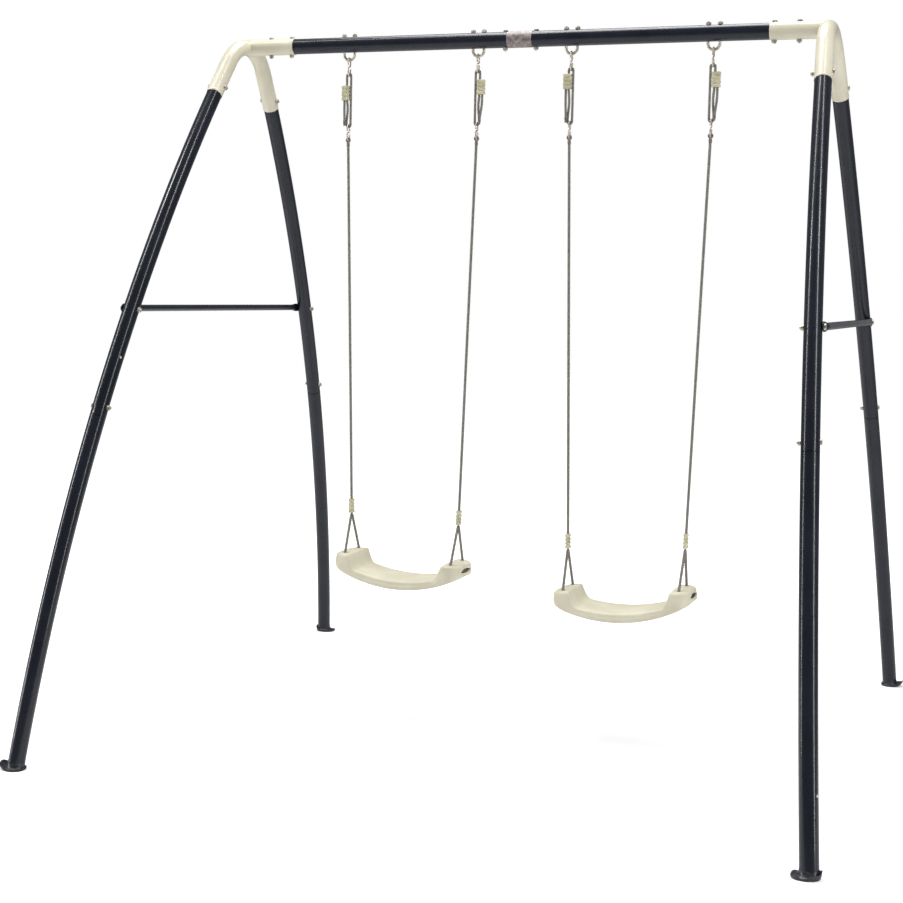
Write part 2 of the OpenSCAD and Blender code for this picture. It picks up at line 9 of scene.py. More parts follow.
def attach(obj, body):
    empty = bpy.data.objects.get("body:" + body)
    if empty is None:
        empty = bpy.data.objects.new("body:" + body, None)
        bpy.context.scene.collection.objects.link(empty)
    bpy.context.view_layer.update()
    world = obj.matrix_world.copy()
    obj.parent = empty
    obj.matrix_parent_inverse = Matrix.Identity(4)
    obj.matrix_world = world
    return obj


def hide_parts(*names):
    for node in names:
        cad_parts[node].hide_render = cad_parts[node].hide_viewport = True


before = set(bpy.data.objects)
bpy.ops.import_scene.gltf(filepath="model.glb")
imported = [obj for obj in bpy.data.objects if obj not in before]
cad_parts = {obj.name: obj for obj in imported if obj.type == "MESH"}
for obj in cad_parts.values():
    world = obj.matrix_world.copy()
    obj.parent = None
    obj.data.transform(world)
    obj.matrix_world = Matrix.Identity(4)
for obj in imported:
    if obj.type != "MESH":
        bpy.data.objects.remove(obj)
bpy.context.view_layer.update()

# ---- Driving sizes, the same as in the part's source, in metres ----
SPAN = 1.742                    # between the A-frames, where they meet the beam's axis
SPLAY = math.radians(4.6)       # sideways lean of an A-frame
BEAM_Z = 2.0                    # height of the beam's axis
TOP_ANGLE = math.radians(37)    # where a leg's arc leaves the bend at the top
BEND_R = 0.142                  # radius of that bend
LEG_R = 4.816                   # radius of the arc that a leg follows
TUBE_R = 0.0225                 # beam and legs
TUBE_FIT = 0.0002               # between a tube and its socket
CONNECTOR_WALL = 0.0012
STUB_LENGTH = 0.159             # from an A-frame's middle to the end of its stub
SOCKET_LENGTH = 0.129           # from the bend to the end of a leg socket
CROSSBAR_Z = 1.209
CROSSBAR_R = 0.0095
TONGUE_T = 0.004                # thickness of a crossbar's flattened end
TONGUE_W = 0.026
FOOT_LENGTH = 0.070             # along the beam
FOOT_WIDTH = 0.060
FOOT_SHIFT = 0.007              # along the beam, from a leg's axis to its foot's middle
U_ROD_D = 0.008                 # rod of the U-bolts
U_DEPTH = 0.0225                # from the beam's underside to that rod's axis
WIRE = 0.0045                   # wire of the hooks
TOP_HOOK_H = 0.057
LOWER_HOOK_H = 0.050
ROPE_D = 0.009
LOOP_D = 0.008                  # thinner rope of the adjusting loops
LOOP_DROP = 0.143               # between the hook wires at both ends of a loop
HANGER_HALF = 0.203             # half the distance between the hangers of a swing
SLIDER_W = 0.025
SLIDER_T = 0.014
SLIDER_H = 0.043
SLIDER_ABOVE_SPLIT = 0.006      # from where a rope divides to the slider above it
GAP = 0.0003                    # between pieces that bear on each other
CONTACT_GAP = 0.0001            # between pieces bolted together
HOLE_X = 0.170                  # from a seat's middle to its rope holes
HOLE_Y = 0.0525
SPLIT_H = 0.107                 # from the rope holes up to where a rope divides
SEAT_HALF_X = 0.202
SEAT_HALF_Y = 0.085
SEAT_CORNER = 0.044             # corner radius seen from above
SEAT_H = 0.090
SEAT_LIP = 0.029                # height of the front lip in the middle
SEAT_WALL = 0.004
LIP_ARC = 0.430                 # radius of the lower edge, seen from the front
DISH_ARC = 0.500                # radius of the sitting surface, seen from the front

# ---- Worked out from them ----
# An A-frame is flat. In its plane, u runs out from the middle and v down from the beam's axis.
LEG_CENTRE_U = (BEND_R - LEG_R) * math.cos(TOP_ANGLE)
LEG_CENTRE_V = BEND_R + (LEG_R - BEND_R) * math.sin(TOP_ANGLE)
SOCKET_ANGLE = TOP_ANGLE - SOCKET_LENGTH / LEG_R
SOCKET_END_Z = BEAM_Z - math.cos(SPLAY) * (LEG_CENTRE_V - LEG_R * math.sin(SOCKET_ANGLE))
SOCKET_R = TUBE_R + TUBE_FIT + CONNECTOR_WALL
TOP_HOOK_Z = BEAM_Z - TUBE_R - U_DEPTH + U_ROD_D / 2 + WIRE / 2 + GAP
LOOP_TOP_Z = TOP_HOOK_Z - (TOP_HOOK_H - WIRE)
LOOP_BOTTOM_Z = LOOP_TOP_Z - LOOP_DROP
ROPE_TOP_Z = LOOP_BOTTOM_Z - (LOWER_HOOK_H - WIRE)
LOOP_TURN_R = WIRE / 2 + LOOP_D / 2 + GAP
LOOP_TAIL_X = LOOP_TURN_R + LOOP_D - 0.0004     # the tail presses lightly on its own strand
STRAND_TURN_R = ROPE_D / 2 + 0.0015
STRAND_TURN_Y = HOLE_Y - 0.9 * STRAND_TURN_R
STRAND_TURN_Z = STRAND_TURN_R - SEAT_WALL - GAP - ROPE_D / 2
SPLIT_X = HOLE_X + 0.003                        # the strands lean outwards a little

# x and z are the middle of the seat's rope holes. hand is which side of the seat a hanger is on,
# and slider_drop how far its loop's slider hangs under the top hook.
Swing = namedtuple("Swing", "side x z roll hangers")
Hanger = namedtuple("Hanger", "end hand slider_drop")
SWINGS = [
    Swing("left", -0.331, 0.478, math.radians(2.35),
          [Hanger("outer", -1, 0.050), Hanger("inner", 1, 0.041)]),
    Swing("right", 0.355, 0.437, math.radians(-4.05),
          [Hanger("inner", -1, 0.031), Hanger("outer", 1, 0.035)]),
]


# ---- Camera ----
def add_camera():
    """The photograph's point of view."""
    place = (1.46403, -4.60871, 1.27654)
    yaw, pitch, roll = (math.radians(a) for a in (-19.685, -5.533, 1.2206))
    forward = Vector((math.sin(yaw) * math.cos(pitch), math.cos(yaw) * math.cos(pitch), math.sin(pitch)))
    level = Vector((math.cos(yaw), -math.sin(yaw), 0))
    up = level.cross(forward)
    right = level * math.cos(roll) + up * math.sin(roll)
    up = up * math.cos(roll) - level * math.sin(roll)
    turn = Matrix((right, up, -forward)).transposed().to_4x4()
    data = bpy.data.cameras.new("camera")
    data.sensor_width = 36
    data.lens = 65.88
    data.clip_end = 50
    cam = bpy.data.objects.new("camera", data)
    cam.matrix_world = Matrix.Translation(place) @ turn
    bpy.context.scene.collection.objects.link(cam)
    bpy.context.scene.camera = cam


add_camera()


# ---- Materials ----
def new_material(name, base, roughness, metallic=0.0, coat=0.0, sheen=0.0):
    """A Principled material, its node tree, its shader and the object's own coordinates."""
    mat = bpy.data.materials.new(name)
    mat.use_nodes = True
    tree = mat.node_tree
    shader = tree.nodes["Principled BSDF"]
    shader.inputs["Base Color"].default_value = (*base, 1)
    shader.inputs["Roughness"].default_value = roughness
    shader.inputs["Metallic"].default_value = metallic
    shader.inputs["Coat Weight"].default_value = coat
    shader.inputs["Coat Roughness"].default_value = 0.12
    shader.inputs["Sheen Weight"].default_value = sheen
    place = tree.nodes.new("ShaderNodeTexCoord")
    return mat, tree, shader, place.outputs["Object"]


def add_noise(tree, place, scale, detail=2.0):
    node = tree.nodes.new("ShaderNodeTexNoise")
    node.inputs["Scale"].default_value = scale
    node.inputs["Detail"].default_value = detail
    tree.links.new(place, node.inputs["Vector"])
    return node.outputs["Fac"]


def vary_colour(tree, shader, fac, dark, light):
    """Base colour between two tones, following the middle part of fac."""
    ramp = tree.nodes.new("ShaderNodeValToRGB")
    ramp.color_ramp.elements[0].position = 0.35
    ramp.color_ramp.elements[1].position = 0.65
    ramp.color_ramp.elements[0].color = (*dark, 1)
    ramp.color_ramp.elements[1].color = (*light, 1)
    tree.links.new(fac, ramp.inputs["Fac"])
    tree.links.new(ramp.outputs["Color"], shader.inputs["Base Color"])


def vary_roughness(tree, shader, fac, low, high):
    node = tree.nodes.new("ShaderNodeMapRange")
    node.inputs["To Min"].default_value = low
    node.inputs["To Max"].default_value = high
    tree.links.new(fac, node.inputs["Value"])
    tree.links.new(node.outputs["Result"], shader.inputs["Roughness"])


def add_bump(tree, shader, fac, distance, strength):
    node = tree.nodes.new("ShaderNodeBump")
    node.inputs["Distance"].default_value = distance
    node.inputs["Strength"].default_value = strength
    tree.links.new(fac, node.inputs["Height"])
    tree.links.new(node.outputs["Normal"], shader.inputs["Normal"])


def dark_paint():
    """Near-black blue paint with a slight orange peel."""
    mat, tree, shader, place = new_material(
        "dark_paint", base=(0.010, 0.012, 0.020), roughness=0.34, coat=0.5)
    shader.inputs["Specular IOR Level"].default_value = 0.16
    blotches = add_noise(tree, place, scale=9)
    vary_colour(tree, shader, blotches, dark=(0.006, 0.008, 0.014), light=(0.011, 0.013, 0.022))
    vary_roughness(tree, shader, add_noise(tree, place, scale=40), low=0.22, high=0.36)
    add_bump(tree, shader, add_noise(tree, place, scale=260, detail=3), distance=0.0005, strength=0.4)
    return mat


def foot_paint():
    """The same paint, scuffed and rough on the pressed feet."""
    mat, tree, shader, place = new_material(
        "foot_paint", base=(0.02, 0.022, 0.03), roughness=0.45, coat=0.2)
    scuffs = add_noise(tree, place, scale=90, detail=4)
    vary_colour(tree, shader, scuffs, dark=(0.005, 0.006, 0.010), light=(0.024, 0.026, 0.036))
    vary_roughness(tree, shader, add_noise(tree, place, scale=120), low=0.3, high=0.6)
    add_bump(tree, shader, add_noise(tree, place, scale=130, detail=3), distance=0.0016, strength=0.6)
    return mat


def cream_paint():
    """Glossy cream paint of the corner connectors."""
    mat, tree, shader, place = new_material(
        "cream_paint", base=(0.66, 0.62, 0.48), roughness=0.35, coat=0.4)
    blotches = add_noise(tree, place, scale=7)
    vary_colour(tree, shader, blotches, dark=(0.60, 0.56, 0.425), light=(0.69, 0.655, 0.52))
    vary_roughness(tree, shader, add_noise(tree, place, scale=30), low=0.3, high=0.42)
    add_bump(tree, shader, add_noise(tree, place, scale=90), distance=0.0002, strength=0.15)
    return mat


def seat_plastic():
    """Satin moulded plastic with a fine grain."""
    mat, tree, shader, place = new_material(
        "seat_plastic", base=(0.66, 0.62, 0.48), roughness=0.5)
    shader.inputs["Subsurface Weight"].default_value = 0.06
    shader.inputs["Subsurface Radius"].default_value = (0.01, 0.008, 0.005)
    blotches = add_noise(tree, place, scale=14, detail=3)
    vary_colour(tree, shader, blotches, dark=(0.62, 0.58, 0.44), light=(0.70, 0.665, 0.52))
    vary_roughness(tree, shader, add_noise(tree, place, scale=60), low=0.42, high=0.58)
    add_bump(tree, shader, add_noise(tree, place, scale=700, detail=3), distance=0.0004, strength=0.5)
    return mat


def seat_inside_shade():
    """The rough inside of a seat's shell, coloured far darker than the outside as painted shade, so that the
    end slots and rope holes look shadowed.
    """
    mat, tree, shader, place = new_material(
        "seat_inside_shade", base=(0.17, 0.155, 0.12), roughness=0.8)
    blotches = add_noise(tree, place, scale=30, detail=3)
    vary_colour(tree, shader, blotches, dark=(0.14, 0.125, 0.095), light=(0.20, 0.185, 0.145))
    vary_roughness(tree, shader, add_noise(tree, place, scale=90), low=0.7, high=0.9)
    return mat


def slider_plastic():
    """Yellowish plastic of the sliders."""
    mat, tree, shader, place = new_material(
        "slider_plastic", base=(0.56, 0.53, 0.36), roughness=0.42)
    blotches = add_noise(tree, place, scale=60)
    vary_colour(tree, shader, blotches, dark=(0.48, 0.45, 0.29), light=(0.64, 0.61, 0.43))
    vary_roughness(tree, shader, add_noise(tree, place, scale=150), low=0.35, high=0.5)
    add_bump(tree, shader, add_noise(tree, place, scale=500), distance=0.0003, strength=0.4)
    return mat


def zinc_metal():
    """Yellowish zinc plating on the bolts and hooks."""
    mat, tree, shader, place = new_material(
        "zinc_metal", base=(0.60, 0.54, 0.45), roughness=0.35, metallic=0.6)
    stains = add_noise(tree, place, scale=120, detail=3)
    vary_colour(tree, shader, stains, dark=(0.34, 0.28, 0.21), light=(0.80, 0.75, 0.65))
    vary_roughness(tree, shader, add_noise(tree, place, scale=200), low=0.25, high=0.5)
    add_bump(tree, shader, add_noise(tree, place, scale=400), distance=0.0003, strength=0.4)
    return mat


def plate_metal():
    """Blank worn metal plate on the beam."""
    mat, tree, shader, place = new_material(
        "plate_metal", base=(0.28, 0.24, 0.23), roughness=0.4, metallic=0.4)
    wear = add_noise(tree, place, scale=90, detail=4)
    vary_colour(tree, shader, wear, dark=(0.17, 0.14, 0.135), light=(0.36, 0.31, 0.30))
    vary_roughness(tree, shader, add_noise(tree, place, scale=80), low=0.35, high=0.6)
    add_bump(tree, shader, add_noise(tree, place, scale=220), distance=0.0003, strength=0.4)
    return mat


def rope_fibre():
    """Grey-brown synthetic fibre."""
    mat, tree, shader, place = new_material(
        "rope_fibre", base=(0.15, 0.135, 0.115), roughness=0.8, sheen=0.2)
    fibres = add_noise(tree, place, scale=420, detail=3)
    vary_colour(tree, shader, fibres, dark=(0.09, 0.082, 0.072), light=(0.30, 0.28, 0.245))
    vary_roughness(tree, shader, add_noise(tree, place, scale=200), low=0.65, high=0.9)
    add_bump(tree, shader, add_noise(tree, place, scale=900, detail=3), distance=0.0006, strength=0.7)
    return mat


DARK = dark_paint()
FOOT = foot_paint()
CREAM = cream_paint()
SEAT = seat_plastic()
SEAT_INSIDE_SHADE = seat_inside_shade()
SLIDER = slider_plastic()
ZINC = zinc_metal()
PLATE = plate_metal()
ROPE = rope_fibre()


# ---- Curves and meshes ----
def smooth_step(a, b, x):
    """From 0 at a to 1 at b, level at both ends."""
    t = min(max((x - a) / (b - a), 0), 1)
    return t * t * (3 - 2 * t)


def arc(centre, radius, start, end, steps):
    """Points in a plane: angles in degrees from the first axis towards the second."""
    out = []
    for k in range(steps + 1):
        a = math.radians(start + (end - start) * k / steps)
        out.append((centre[0] + radius * math.cos(a), centre[1] + radius * math.sin(a)))
    return out


def round_steps(sides):
    """Cosine and sine of even steps round a circle."""
    turns = [2 * math.pi * j / sides for j in range(sides)]
    return [(math.cos(w), math.sin(w)) for w in turns]


def blunt(value, power):
    """A cosine or sine whose circle is squared off by a power under 1."""
    return math.copysign(abs(value) ** power, value)


def resample(points, step):
    """Points at even steps along a polyline, and its length."""
    points = [Vector(p) for p in points]
    lengths = [0.0]
    for a, b in zip(points, points[1:]):
        lengths.append(lengths[-1] + (b - a).length)
    count = max(2, round(lengths[-1] / step))
    out, seg = [], 0
    for k in range(count + 1):
        s = lengths[-1] * k / count
        while seg < len(points) - 2 and lengths[seg + 1] < s:
            seg += 1
        span = lengths[seg + 1] - lengths[seg]
        out.append(points[seg].lerp(points[seg + 1], (s - lengths[seg]) / span))
    return out, lengths[-1]


def make_object(name, verts, faces, material, smooth=True):
    mesh = bpy.data.meshes.new(name)
    mesh.from_pydata([tuple(v) for v in verts], [], faces)
    mesh.polygons.foreach_set("use_smooth", [smooth] * len(mesh.polygons))
    mesh.materials.append(material)
    mesh.update()
    obj = bpy.data.objects.new(name, mesh)
    bpy.context.scene.collection.objects.link(obj)
    return obj


def ring_faces(rings, sides, caps=True):
    """Faces between rings of the same number of points, stored one after another."""
    faces = []
    for r in range(rings - 1):
        for k in range(sides):
            m = (k + 1) % sides
            faces.append((r * sides + k, r * sides + m, (r + 1) * sides + m, (r + 1) * sides + k))
    if caps:
        faces.append(tuple(reversed(range(sides))))
        faces.append(tuple(range((rings - 1) * sides, rings * sides)))
    return faces


def rope_radius(radius, angle):
    """Outline of three strands laid together, angle measured from a strand's middle."""
    strand = 0.464 * radius     # three equal circles that touch inside a circle
    core = 0.72 * radius        # the valleys between strands go no deeper than this
    offset = radius - strand
    third = 2 * math.pi / 3
    a = (angle + third / 2) % third - third / 2
    inside = strand ** 2 - (offset * math.sin(a)) ** 2
    reach = offset * math.cos(a) + math.sqrt(max(inside, 0))
    return max(reach, core)


def laid_rope(name, points, diameter, lay=0.022, step=0.0022, sides=18):
    """A three-strand rope along the points, twisting once every lay, and its length."""
    path, length = resample(points, step)
    tangent = (path[1] - path[0]).normalized()
    normal = tangent.orthogonal().normalized()
    verts = []
    for k, p in enumerate(path):
        a = path[max(k - 1, 0)]
        b = path[min(k + 1, len(path) - 1)]
        t = (b - a).normalized()
        normal = (normal - t * normal.dot(t)).normalized()
        side = t.cross(normal)
        twist = 2 * math.pi * (length * k / (len(path) - 1)) / lay
        for j in range(sides):
            w = 2 * math.pi * j / sides
            r = rope_radius(diameter / 2, w - twist)
            verts.append(p + (normal * math.cos(w) + side * math.sin(w)) * r)
    return make_object(name, verts, ring_faces(len(path), sides), ROPE), length


# ---- Places on a swing ----
def seat_point(swing, p):
    """A point of a seat's own frame, in the row frame."""
    return Vector((swing.x + p[0] * math.cos(swing.roll) + p[2] * math.sin(swing.roll), p[1],
                   swing.z - p[0] * math.sin(swing.roll) + p[2] * math.cos(swing.roll)))


def seat_matrix(swing):
    return Matrix.Translation((swing.x, 0, swing.z)) @ Matrix.Rotation(swing.roll, 4, "Y")


def split_local(swing, hanger):
    """Where a rope divides, in the seat's own frame."""
    return (hanger.hand * SPLIT_X - SPLIT_H * math.tan(swing.roll), 0, SPLIT_H)


def hanger_x(swing, hanger):
    return swing.x + hanger.hand * HANGER_HALF


def rope_ends(swing, hanger):
    """The lower hook's bend, where a main rope begins, and the point where it divides."""
    top = Vector((hanger_x(swing, hanger), 0, ROPE_TOP_Z))
    return top, seat_point(swing, split_local(swing, hanger))


# ---- Ropes ----
def add_main_rope(swing, hanger):
    """The long rope from its eye on the lower hook to where it divides above the seat."""
    side, end = swing.side, hanger.end
    eye_d = 0.66 * ROPE_D       # laid up from half of the strands
    eye_r = WIRE / 2 + eye_d / 2 + GAP
    steps = 20
    top, split = rope_ends(swing, hanger)
    down = (split - top).normalized()
    start = top + Vector((0, 0, -eye_r))
    stop = split - down * (ROPE_D / 2)
    points = [start.lerp(stop, k / steps) for k in range(steps + 1)]
    rope, length = laid_rope("%s_rope_%s" % (side, end), points, ROPE_D)
    circle = [Vector((x, 0, z)) for x, z in arc((top.x, ROPE_TOP_Z), eye_r, -80, 260, 40)]
    eye, _ = laid_rope("%s_rope_eye_%s" % (side, end), circle, eye_d, lay=0.012, step=0.001)
    wrap_start = start + down * 0.004
    wrap = add_whipping("%s_rope_whipping_%s" % (side, end), wrap_start, down, ROPE_D / 2)
    for piece in (rope, eye, wrap):
        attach(piece, side + "_ropes")
    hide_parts("%s_swing_rope_%s" % (side, end))


def add_whipping(name, start, down, radius):
    """Twine wound round a rope to hold its end."""
    turns, per_turn, twine_d = 5, 16, 0.0018
    normal = down.orthogonal().normalized()
    side = down.cross(normal)
    points = []
    for k in range(turns * per_turn + 1):
        w = 2 * math.pi * k / per_turn
        out = normal * math.cos(w) + side * math.sin(w)
        points.append(start + down * (twine_d * k / per_turn) + out * radius)
    twine, _ = laid_rope(name, points, twine_d, lay=0.006, step=0.0015, sides=6)
    return twine


def loop_route(slider_z):
    """An adjusting loop from its hanger's line outwards: from the slider down round the lower
    hook, up, over the top hook and down through the slider again, its tail hanging beside."""
    start_z = slider_z - 0.004          # the first end is held inside the slider
    slack = 0.0032                      # how far the strand under the slider bows inwards
    shift = 0.014                       # the tail moves out from this far above to this far below
    tail_in, tail_forward = 0.0045, 0.0078
    tail_z = LOOP_BOTTOM_Z - 0.004      # the tail ends just under the lower hook's wire
    route = []
    for k in range(17):
        t = k / 16
        x = LOOP_TURN_R - slack * math.sin(math.pi * t) ** 2
        route.append((x, 0, start_z + (LOOP_BOTTOM_Z - start_z) * t))
    route += [(x, 0, z) for x, z in arc((0, LOOP_BOTTOM_Z), LOOP_TURN_R, 0, -180, 14)[1:]]
    route += [(x, 0, z) for x, z in arc((0, LOOP_TOP_Z), LOOP_TURN_R, 180, 0, 14)]
    for k in range(13):
        t = k / 12
        x = LOOP_TURN_R + (LOOP_TAIL_X - LOOP_TURN_R) * smooth_step(0, 1, t)
        route.append((x, 0, slider_z + shift - 2 * shift * t))
    for k in range(1, 21):
        t = k / 20
        ease = smooth_step(0.3, 1, t)
        z = slider_z - shift + (tail_z - slider_z + shift) * t
        route.append((LOOP_TAIL_X - tail_in * ease, -tail_forward * ease, z))
    return route


def add_loop(swing, hanger):
    """The adjusting loop and the whipping on its tail."""
    side, end = swing.side, hanger.end
    middle = hanger_x(swing, hanger)
    route = loop_route(LOOP_TOP_Z - hanger.slider_drop)
    points = [Vector((middle + hanger.hand * x, y, z)) for x, y, z in route]
    rope, length = laid_rope("%s_loop_%s" % (side, end), points, LOOP_D, lay=0.019, step=0.002)
    tail = points[-1]
    down = (tail - points[-2]).normalized()
    wrap_start = tail - down * 0.015
    wrap = add_whipping("%s_loop_whipping_%s" % (side, end), wrap_start, down, LOOP_D / 2)
    for piece in (rope, wrap):
        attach(piece, side + "_hangers")
    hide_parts("%s_swing_loop_%s" % (side, end))


def add_strand(swing, hanger):
    """The rope below the slider, through both holes of a seat's end block."""
    side, end = swing.side, hanger.end
    slope = math.degrees(math.atan(STRAND_TURN_Y / (SPLIT_H - STRAND_TURN_R - STRAND_TURN_Z)))
    half = arc((0, SPLIT_H - STRAND_TURN_R), STRAND_TURN_R, 90, slope, 5)
    half += arc((STRAND_TURN_Y, STRAND_TURN_Z), STRAND_TURN_R, slope, -90, 8)
    route = [(-y, z) for y, z in half] + list(reversed(half))
    split_x = split_local(swing, hanger)[0]
    hole_x = hanger.hand * HOLE_X
    points = []
    for y, z in route:
        x = hole_x + (split_x - hole_x) * z / SPLIT_H
        points.append(seat_point(swing, (x, y, z)))
    rope, length = laid_rope("%s_strand_%s" % (side, end), points, ROPE_D, step=0.002)
    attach(rope, side + "_seat")
    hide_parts("%s_swing_seat_strand_%s" % (side, end))


for swing in SWINGS:
    for hanger in swing.hangers:
        add_main_rope(swing, hanger)
        add_loop(swing, hanger)
        add_strand(swing, hanger)


# ---- Sliders ----
def slider_levels():
    """Height and scale of the rings of a slider, from its lower end to its upper one."""
    # depth from an end, and scale: a sunk ring round the rope, then a rounded edge
    end = [(0, 0.45), (0.003, 0.5), (0.003, 0.6), (0, 0.72), (0.0003, 0.9), (0.0012, 0.97)]
    edge, steps = 0.0022, 36
    levels = [(depth - SLIDER_H / 2, scale) for depth, scale in end]
    for k in range(steps + 1):
        levels.append((edge - SLIDER_H / 2 + (SLIDER_H - 2 * edge) * k / steps, 1.0))
    levels += [(SLIDER_H / 2 - depth, scale) for depth, scale in reversed(end)]
    return levels


def groove_depth(z):
    """How deep the nearest of a slider's three grooves is at a height from its middle."""
    pitch, half_width, depth = 0.0108, 0.0018, 0.0026
    near = min(abs(z - groove) for groove in (-pitch, 0.0, pitch))
    return depth * math.exp(-(near / half_width) ** 2)


def add_slider(name, centre, axis, wide):
    """A moulded slider. axis runs up the rope, wide across the two holes."""
    sides, power = 40, 0.55
    axis = axis.normalized()
    wide = (wide - axis * wide.dot(axis)).normalized()
    thick = axis.cross(wide)
    levels = slider_levels()
    verts = []
    for z, scale in levels:
        dip = groove_depth(z)
        for c, s in round_steps(sides):
            x = blunt(c, power) * (SLIDER_W / 2 - 0.6 * dip) * scale
            y = blunt(s, power) * (SLIDER_T / 2 - dip) * scale
            verts.append(centre + axis * z + wide * x + thick * y)
    return make_object(name, verts, ring_faces(len(levels), sides), SLIDER)


def add_loop_slider(swing, hanger):
    """The slider that an adjusting loop passes through twice."""
    name = "%s_loop_slider_%s" % (swing.side, hanger.end)
    x = swing.x + hanger.hand * (HANGER_HALF + (LOOP_TURN_R + LOOP_TAIL_X) / 2)
    centre = Vector((x, 0, LOOP_TOP_Z - hanger.slider_drop))
    piece = add_slider(name + "_moulding", centre, Vector((0, 0, 1)), Vector((1, 0, 0)))
    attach(piece, name)
    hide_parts("%s_swing_loop_slider_%s" % (swing.side, hanger.end))


def add_seat_slider(swing, hanger):
    """The slider above the point where a main rope divides."""
    name = "%s_seat_slider_%s" % (swing.side, hanger.end)
    top, split = rope_ends(swing, hanger)
    up = top - split
    centre = split + up.normalized() * (SLIDER_ABOVE_SPLIT + SLIDER_H / 2)
    piece = add_slider(name + "_moulding", centre, up, Vector((0, 1, 0)))
    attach(piece, name)
    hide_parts("%s_swing_seat_slider_%s" % (swing.side, hanger.end))


for swing in SWINGS:
    for hanger in swing.hangers:
        add_loop_slider(swing, hanger)
        add_seat_slider(swing, hanger)


# ---- Seats ----
SEAT_EDGE_R = 0.009         # rounding between a seat's wall and its top
SEAT_BULGE = 0.0022         # how far the wall swells out between its edges


def seat_outline(count):
    """Points round the seat seen from above, with rounded corners, at even steps."""
    half_x, half_y = SEAT_HALF_X - SEAT_CORNER, SEAT_HALF_Y - SEAT_CORNER
    corners = []
    for sx, sy, start in ((1, 1, 0), (-1, 1, 90), (-1, -1, 180), (1, -1, 270)):
        corners += arc((sx * half_x, sy * half_y), SEAT_CORNER, start, start + 90, 12)
    closed = [Vector((x, y, 0)) for x, y in corners + corners[:1]]
    around = sum((b - a).length for a, b in zip(closed, closed[1:]))
    points, _ = resample(closed, around / count)
    return points[:count]


def seat_top(x, y):
    """Height of the sitting surface and of the end blocks, blended softly into each other."""
    foot_x, wall_x, wall_h, steepness = 0.120, 0.149, 0.045, 2.2
    fall_x, fall = 0.175, 0.004         # a block's top slopes down towards its outer end
    soft = 0.008
    dish = SEAT_LIP - SEAT_H + DISH_ARC - math.sqrt(DISH_ARC ** 2 - x * x)
    crown = -0.0025 * (y / SEAT_HALF_Y) ** 2
    block = -0.0008 - fall * smooth_step(fall_x, SEAT_HALF_X, abs(x))
    wall = dish + wall_h * (max(abs(x) - foot_x, 0) / (wall_x - foot_x)) ** steepness
    blend = min(max(0.5 + 0.5 * (wall - block) / soft, 0), 1)
    return wall + (block - wall) * blend - soft * blend * (1 - blend) + crown


def seat_bottom(x):
    """Height of a seat's lower edge, seen from the front."""
    return LIP_ARC - SEAT_H - math.sqrt(LIP_ARC ** 2 - x * x)


def seat_rim(p):
    """The point where the rounded edge over outline point p ends, and the way out from it."""
    out = Vector((p.x / SEAT_HALF_X ** 2, p.y / SEAT_HALF_Y ** 2, 0)).normalized()
    return p - out * SEAT_EDGE_R, out


def wall_point(p, t):
    """On the outer wall, t from 0 at its lower edge to 1 under the rounded edge."""
    rim, out = seat_rim(p)
    low = seat_bottom(p.x)
    high = seat_top(rim.x, rim.y) - SEAT_EDGE_R
    bulge = SEAT_BULGE * math.sin(math.pi * min(t * 1.15, 1))
    q = p - out * SEAT_BULGE + out * bulge
    return Vector((q.x, q.y, low + (high - low) * t))


def edge_point(p, angle):
    """On the rounded edge, from 0 at the wall to a quarter turn at the top."""
    rim, out = seat_rim(p)
    q = p - out * SEAT_EDGE_R * (1 - math.cos(angle)) - out * SEAT_BULGE * math.cos(angle)
    high = seat_top(rim.x, rim.y) - SEAT_EDGE_R
    return Vector((q.x, q.y, high + SEAT_EDGE_R * math.sin(angle)))


def surface_point(p, t):
    """On the top, t from 0 at the rounded edge to 1 in the seat's middle."""
    q = seat_rim(p)[0] * (1 - t)
    return Vector((q.x, q.y, seat_top(q.x, q.y)))


def seat_mesh(name):
    """A moulded skin: a lip all round, a dished sitting surface and raised end blocks."""
    count, wall_steps, edge_steps, surface_steps = 320, 12, 6, 72
    outline = seat_outline(count)
    rings = [[wall_point(p, k / wall_steps) for p in outline] for k in range(wall_steps + 1)]
    for k in range(1, edge_steps + 1):
        rings.append([edge_point(p, math.radians(90 / edge_steps * k)) for p in outline])
    for k in range(1, surface_steps):
        rings.append([surface_point(p, k / surface_steps) for p in outline])
    verts = [point for ring in rings for point in ring]
    verts.append(Vector((0, 0, seat_top(0, 0))))
    faces = ring_faces(len(rings), count, caps=False)
    last = (len(rings) - 1) * count
    for k in range(count):
        faces.append((last + k, last + (k + 1) % count, len(verts) - 1))
    return make_object(name, verts, faces, SEAT)


def open_seat(skin):
    """Cuts the rope holes and the lens-shaped slot in each end wall."""
    hole_r, block_z = 0.0065, -0.02
    slot_half_y, slot_half_z, slot_z = 0.046, 0.0075, -0.022
    end_x = SEAT_HALF_X - 0.01
    bm = bmesh.new()
    bm.from_mesh(skin.data)
    gone = []
    for face in bm.faces:
        c = face.calc_center_median()
        from_hole = math.hypot(abs(c.x) - HOLE_X, abs(c.y) - HOLE_Y)
        in_hole = from_hole < hole_r and c.z > block_z and face.normal.z > 0.5
        lens = slot_half_z * (1 - (c.y / slot_half_y) ** 2)
        in_slot = abs(c.x) > end_x and abs(c.y) < slot_half_y and abs(c.z - slot_z) < lens
        if in_hole or in_slot:
            gone.append(face)
    bmesh.ops.delete(bm, geom=gone, context="FACES")
    bm.to_mesh(skin.data)
    bm.free()


